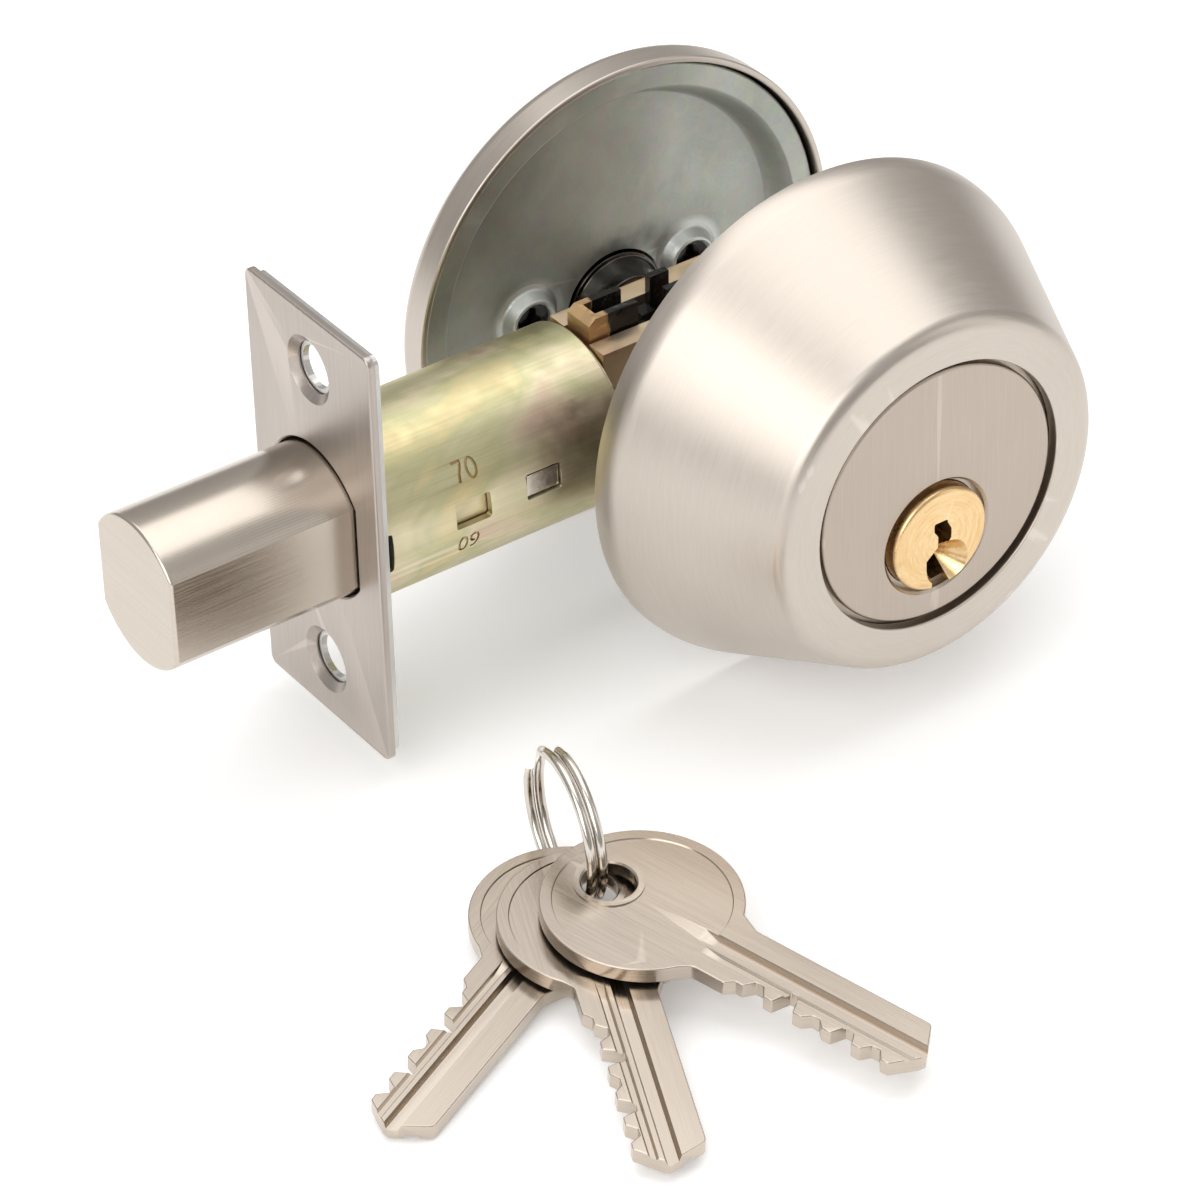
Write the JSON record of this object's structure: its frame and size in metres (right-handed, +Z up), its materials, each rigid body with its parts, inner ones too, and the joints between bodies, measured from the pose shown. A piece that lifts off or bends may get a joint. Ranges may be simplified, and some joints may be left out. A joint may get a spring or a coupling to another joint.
{
  "type": "deadbolt door lock",
  "caption": "Tubular deadbolt lock: tapered key-side collar, latch with thrown bolt and faceplate, room-side rose with turn knob, and keys on a split ring.",
  "frame": {"origin": "middle of the footprint of the lock and its keys, on the surface that the collar and the rose stand on", "axes": "+X along the bolt, from its tip towards the cam; +Y through the door, from the key side to the knob side; +Z up"},
  "size_m": [0.1288, 0.1386, 0.0656],
  "materials": {
    "satin_nickel": "satin nickel, brushed round the axis",
    "face_nickel": "satin nickel, brushed straight",
    "plate_nickel": "satin nickel plated steel, brushed lengthwise",
    "bolt_nickel": "bright satin nickel",
    "brass": "turned brass, bright",
    "yellow_zinc": "zinc plated, yellow iridescent passivate",
    "galvanised": "zinc coated pressed steel, dull",
    "black_steel": "black, greased",
    "black_chrome": "black chrome",
    "plain_steel": "plain steel",
    "ring_steel": "nickel plated spring steel",
    "nylon": "natural nylon",
    "key_nickel": "nickel plated brass"
  },
  "bodies": {
    "lock_body": {"outer_collar": "satin_nickel", "rose_shell": "satin_nickel", "cylinder_housing": "face_nickel", "faceplate": "plate_nickel", "backset_catch": "bolt_nickel", "pin_cover": "brass", "latch_tube": "yellow_zinc", "inner_sleeve": "yellow_zinc", "case_plate_near": "yellow_zinc", "case_plate_far": "yellow_zinc", "mounting_plate": "galvanised", "backing_plate": "plain_steel", "case_rivet_1": "plain_steel", "case_rivet_2": "plain_steel", "case_rivet_3": "plain_steel", "detent_spring": "plain_steel", "knob_washer": "nylon", "driver_pin_1": "plain_steel", "pin_spring_1": "plain_steel", "driver_pin_2": "plain_steel", "pin_spring_2": "plain_steel", "driver_pin_3": "plain_steel", "pin_spring_3": "plain_steel", "driver_pin_4": "plain_steel", "pin_spring_4": "plain_steel", "driver_pin_5": "plain_steel", "pin_spring_5": "plain_steel"},
    "turn_train": {"turn_knob": "satin_nickel", "turn_hub": "black_chrome", "tailpiece": "plain_steel", "cam_hub": "black_steel", "drive_pin": "plain_steel"},
    "bolt_train": {"bolt": "bolt_nickel", "saw_guard_pin": "plain_steel", "bolt_tail": "black_steel", "tail_rivet": "plain_steel"},
    "plug_train": {"key_plug": "brass", "plug_clip": "plain_steel", "tail_cam": "plain_steel", "key_pin_1": "brass", "key_pin_2": "brass", "key_pin_3": "brass", "key_pin_4": "brass", "key_pin_5": "brass"},
    "ring_body": {"split_ring": "ring_steel"},
    "key_1_body": {"key_1": "key_nickel"},
    "key_2_body": {"key_2": "key_nickel"},
    "key_3_body": {"key_3": "key_nickel"}
  },
  "joints": [
    {"name": "knob_turn", "type": "hinge", "parent": "lock_body", "child": "turn_train", "pos_m": [0.03156, 0.02577, 0.02675], "axis": [0, 1, 0], "range_deg": [0, 90]},
    {"name": "bolt_slide", "type": "slide", "parent": "lock_body", "child": "bolt_train", "axis": [1, 0, 0], "range_m": [0, 0.025]},
    {"name": "plug_turn", "type": "hinge", "parent": "lock_body", "child": "plug_train", "pos_m": [0.03156, -0.01683, 0.02675], "axis": [0, 1, 0], "range_deg": [0, 90]},
    {"name": "keys_lift", "type": "slide", "parent": "lock_body", "child": "ring_body", "axis": [0, 0, 1], "range_m": [0, 0.06]},
    {"name": "key_1_swing", "type": "hinge", "parent": "ring_body", "child": "key_1_body", "pos_m": [-0.02434, -0.02633, 0.0065], "axis": [0, -0.0698, 0.9976], "range_deg": [-15, 25]},
    {"name": "key_2_swing", "type": "hinge", "parent": "ring_body", "child": "key_2_body", "pos_m": [-0.02504, -0.02363, 0.00415], "axis": [0, -0.0698, 0.9976], "range_deg": [-20, 20]},
    {"name": "key_3_swing", "type": "hinge", "parent": "ring_body", "child": "key_3_body", "pos_m": [-0.02364, -0.02173, 0.0018], "axis": [0, -0.0698, 0.9976], "range_deg": [-10, 5]}
  ],
  "couplings": [
    {"joint": "knob_turn", "follows": "bolt_slide", "rad_per_m": 62.83},
    {"joint": "plug_turn", "follows": "bolt_slide", "rad_per_m": 62.83}
  ]
}
